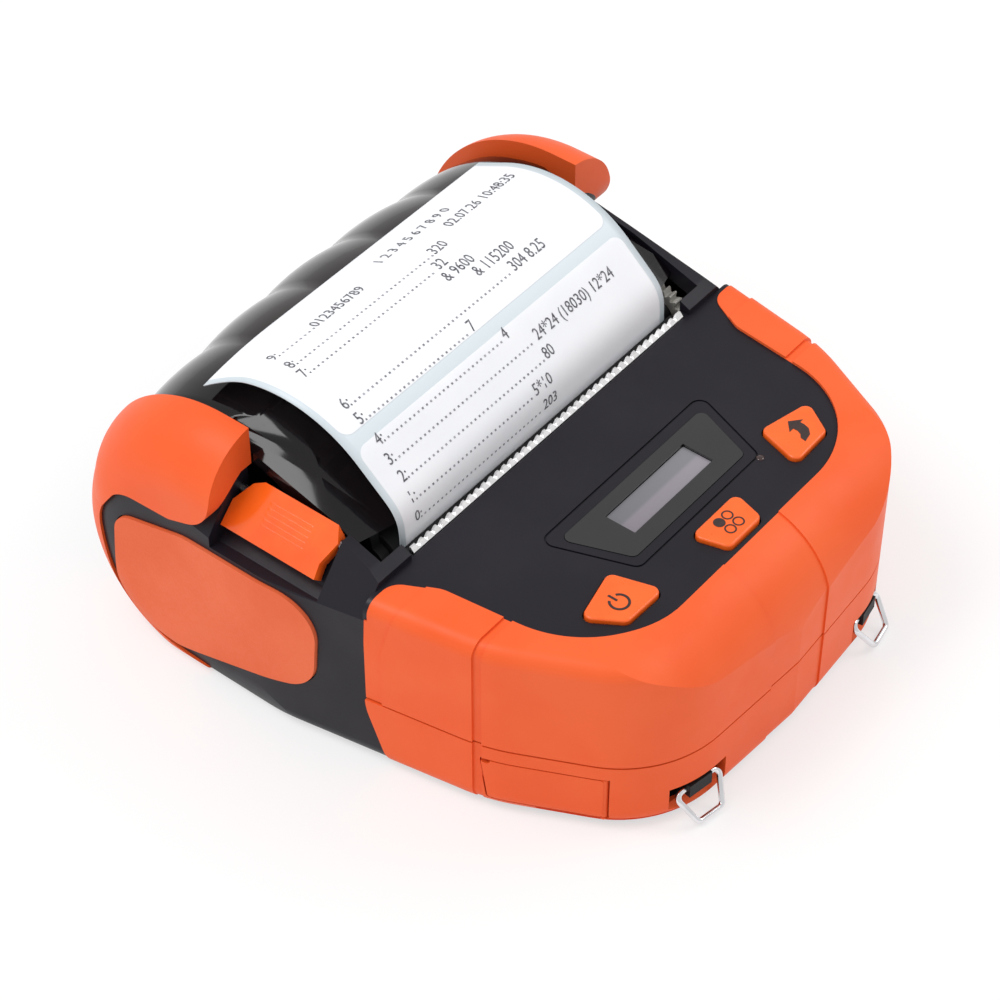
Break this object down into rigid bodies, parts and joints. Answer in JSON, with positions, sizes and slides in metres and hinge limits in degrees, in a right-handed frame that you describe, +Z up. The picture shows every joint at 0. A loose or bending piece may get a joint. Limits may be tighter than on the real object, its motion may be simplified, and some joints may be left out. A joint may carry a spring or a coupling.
{
  "type": "mobile printer",
  "caption": "Rugged handheld label printer with rubber bumpers, a hinged smoked cover over the paper roll, a display panel with keys and a removable battery.",
  "frame": {"origin": "on the flat bottom, in the middle of the width, about 64 mm behind the front", "axes": "+X to the user's right, +Y from the front with the panel to the back with the roll, +Z up"},
  "size_m": [0.12, 0.1311, 0.0654],
  "materials": {
    "orange_rubber": "matte",
    "orange_plastic": "satin",
    "dark_case": "satin",
    "smoked_cover": "gloss",
    "black_plastic": "matte",
    "lens": "gloss",
    "lcd": "gloss",
    "steel": "brushed",
    "bright_steel": "polished",
    "aluminium": "satin",
    "black_rubber": "matte",
    "white_gear": "satin",
    "paper": "matte",
    "card": "matte",
    "board": "satin",
    "grey_rubber": "matte",
    "copper": "polished"
  },
  "bodies": {
    "case": {"lower_housing": "dark_case", "upper_housing": "dark_case", "front_bumper_upper": "orange_rubber", "front_bumper_lower": "orange_rubber", "rear_bumper_left": "orange_rubber", "rear_bumper_right": "orange_rubber", "side_pad_left": "orange_rubber", "side_pad_right": "orange_rubber", "hinge_pin": "steel", "gear_plate": "steel", "idler_pin": "steel", "drive_motor": "steel", "print_head": "black_plastic", "head_heatsink": "aluminium", "head_springs": "steel", "tear_bar": "bright_steel", "display_lens": "lens", "display_module": "lcd", "keypad": "grey_rubber", "main_board": "board", "latch_pin": "steel", "port_board": "board", "usb_connector": "steel", "power_jack": "black_plastic", "strap_bar_left": "black_plastic", "strap_bar_right": "black_plastic", "battery_contacts": "copper", "label_web": "paper", "housing_screws": "steel"},
    "cover": {"paper_cover": "smoked_cover", "platen_carrier": "black_plastic", "platen_bearings": "white_gear", "label_strip": "paper"},
    "platen": {"platen_roller": "black_rubber", "platen_shaft": "steel", "platen_gear": "white_gear"},
    "idler": {"idler_gear": "white_gear"},
    "pinion": {"motor_pinion": "copper", "motor_shaft": "steel"},
    "latch": {"latch_lever": "orange_plastic"},
    "power_key": {"power_button": "orange_plastic"},
    "menu_key": {"menu_button": "orange_plastic"},
    "feed_key": {"feed_button": "orange_plastic"},
    "flap": {"port_flap": "orange_rubber"},
    "loop_left": {"strap_loop_left": "bright_steel"},
    "loop_right": {"strap_loop_right": "bright_steel"},
    "battery": {"battery_pack": "black_plastic"},
    "battery_catch": {"battery_latch": "black_plastic"},
    "roll": {"paper_roll": "paper", "roll_core": "card"},
    "guide_left": {"roll_guide_left": "black_plastic"},
    "guide_right": {"roll_guide_right": "black_plastic"}
  },
  "joints": [
    {"name": "cover_hinge", "type": "hinge", "parent": "case", "child": "cover", "pos_m": [0, 0.0572, 0.0096], "axis": [-1, 0, 0], "range_deg": [0, 85]},
    {"name": "platen_spin", "type": "hinge", "parent": "cover", "child": "platen", "pos_m": [0, 0.00195, 0.0365], "axis": [1, 0, 0], "continuous": true},
    {"name": "idler_spin", "type": "hinge", "parent": "case", "child": "idler", "pos_m": [0.046, -0.00396, 0.02436], "axis": [1, 0, 0], "continuous": true},
    {"name": "pinion_spin", "type": "hinge", "parent": "case", "child": "pinion", "pos_m": [0.046, -0.01511, 0.02157], "axis": [1, 0, 0], "continuous": true},
    {"name": "latch_pull", "type": "hinge", "parent": "case", "child": "latch", "pos_m": [-0.0497, 0.0144, 0.0454], "axis": [0, 1, 0], "range_deg": [0, 12], "stiffness_Nm_per_rad": 0.05, "springref_deg": -11.46},
    {"name": "power_press", "type": "slide", "parent": "case", "child": "power_key", "axis": [0, 0, -1], "range_m": [0, 0.0008], "stiffness_N_per_m": 300, "springref_m": -0.001},
    {"name": "menu_press", "type": "slide", "parent": "case", "child": "menu_key", "axis": [0, 0, -1], "range_m": [0, 0.0008], "stiffness_N_per_m": 300, "springref_m": -0.001},
    {"name": "feed_press", "type": "slide", "parent": "case", "child": "feed_key", "axis": [0, 0, -1], "range_m": [0, 0.0008], "stiffness_N_per_m": 300, "springref_m": -0.001},
    {"name": "flap_swing", "type": "hinge", "parent": "case", "child": "flap", "pos_m": [-0.0418, -0.05096, 0.0085], "axis": [0, 0, 1], "range_deg": [0, 90]},
    {"name": "battery_slide", "type": "slide", "parent": "case", "child": "battery", "axis": [0, 0, -1], "range_m": [0, 0.025]},
    {"name": "battery_catch_slide", "type": "slide", "parent": "case", "child": "battery_catch", "axis": [0, 1, 0], "range_m": [0, 0.0025], "stiffness_N_per_m": 200, "springref_m": -0.001},
    {"name": "roll_spin", "type": "hinge", "parent": "case", "child": "roll", "pos_m": [0, 0.031, 0.027], "axis": [1, 0, 0], "continuous": true},
    {"name": "guide_right_slide", "type": "slide", "parent": "case", "child": "guide_right", "axis": [1, 0, 0], "range_m": [0, 0.005], "stiffness_N_per_m": 60, "springref_m": -0.001},
    {"name": "guide_left_slide", "type": "slide", "parent": "case", "child": "guide_left", "axis": [-1, 0, 0], "range_m": [0, 0.005], "stiffness_N_per_m": 60, "springref_m": -0.001},
    {"name": "loop_left_swing", "type": "hinge", "parent": "case", "child": "loop_left", "pos_m": [-0.0274, -0.0612, 0.0068], "axis": [-0.9848, 0.1736, 0], "range_deg": [0, 60]},
    {"name": "loop_right_swing", "type": "hinge", "parent": "case", "child": "loop_right", "pos_m": [0.0274, -0.0612, 0.0068], "axis": [-0.9848, -0.1736, 0], "range_deg": [0, 60]}
  ],
  "couplings": [
    {"joint": "idler_spin", "follows": "platen_spin", "ratio": -0.58823},
    {"joint": "pinion_spin", "follows": "platen_spin", "ratio": 1.6667},
    {"joint": "guide_left_slide", "follows": "guide_right_slide", "ratio": 1}
  ]
}
